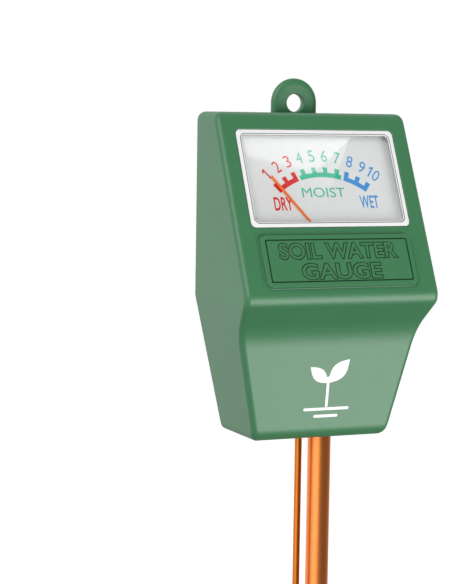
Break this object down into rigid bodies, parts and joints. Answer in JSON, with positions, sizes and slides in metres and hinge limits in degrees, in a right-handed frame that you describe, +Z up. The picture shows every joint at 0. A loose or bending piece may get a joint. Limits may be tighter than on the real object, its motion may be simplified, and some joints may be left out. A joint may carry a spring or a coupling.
{
  "type": "soil moisture meter",
  "caption": "Analogue soil moisture meter: wedge-shaped green housing with a sloping dial window and hanging loop, moving-coil pointer inside, and a thick and a thin probe below.",
  "frame": {"origin": "midway between the two probe axes, on the underside of the housing, where the soil surface comes when the probes are fully in", "axes": "+X right as seen from the front, -Y towards the reader (dial side), +Z up, away from the soil"},
  "size_m": [0.063, 0.0394, 0.288],
  "materials": {
    "housing_green": "fine-grained moulded, satin",
    "cover_green": "fine-grained moulded, satin",
    "clear_window": "clear, polished",
    "dial_white": "smooth satin, printed",
    "bezel_white": "smooth gloss",
    "print_red": "pad-printed ink",
    "print_mint": "pad-printed ink",
    "print_blue": "pad-printed ink",
    "print_white": "pad-printed ink",
    "pointer_orange": "satin paint",
    "probe_copper": "copper plated, drawn",
    "thin_probe_copper": "copper plated, drawn",
    "screw_steel": "zinc plated",
    "frame_black": "moulded",
    "soft_iron": "turned",
    "magnet_grey": "ground",
    "support_plastic": "moulded",
    "brass_parts": "stamped and turned",
    "hairspring_bronze": "rolled strip",
    "spindle_steel": "polished",
    "former_aluminium": "bent strip",
    "winding_copper": "enamelled wire",
    "resistor_ceramic": "lacquered",
    "lead_red": "soft PVC",
    "lead_black": "soft PVC",
    "insulator_white": "moulded"
  },
  "bodies": {
    "housing": {"front_housing": "housing_green", "rear_cover": "cover_green", "cover_screws": "screw_steel", "window_lens": "clear_window", "window_bezel": "bezel_white", "dial_plate": "dial_white", "dial_screws": "screw_steel", "movement_frame": "frame_black", "movement_screws": "screw_steel", "yoke_ring": "soft_iron", "core_magnet": "magnet_grey", "core_supports": "support_plastic", "front_bridge": "brass_parts", "rear_bridge": "brass_parts", "bridge_screws": "screw_steel", "front_jewel_screw": "brass_parts", "rear_jewel_screw": "brass_parts", "zero_lever": "brass_parts", "front_hairspring": "hairspring_bronze", "rear_hairspring": "hairspring_bronze", "solder_tags": "brass_parts", "calibration_resistor": "resistor_ceramic", "thick_lead": "lead_red", "thin_lead": "lead_black", "thick_terminal": "brass_parts", "thin_terminal": "brass_parts", "thick_retainer": "screw_steel", "thin_retainer": "screw_steel", "probe_block": "insulator_white", "thick_probe_tube": "probe_copper", "thick_probe_tip": "probe_copper", "thin_probe": "thin_probe_copper"},
    "moving_coil": {"pointer": "pointer_orange", "balance_weight": "brass_parts", "front_spindle": "spindle_steel", "rear_spindle": "spindle_steel", "coil_former": "former_aluminium", "coil_winding": "winding_copper"}
  },
  "joints": [
    {"name": "pointer_turn", "type": "hinge", "parent": "housing", "child": "moving_coil", "pos_m": [0, -0.01619, 0.05849], "axis": [0, 0.901, -0.4339], "range_deg": [-4, 73], "stiffness_Nm_per_rad": 0.00002}
  ]
}
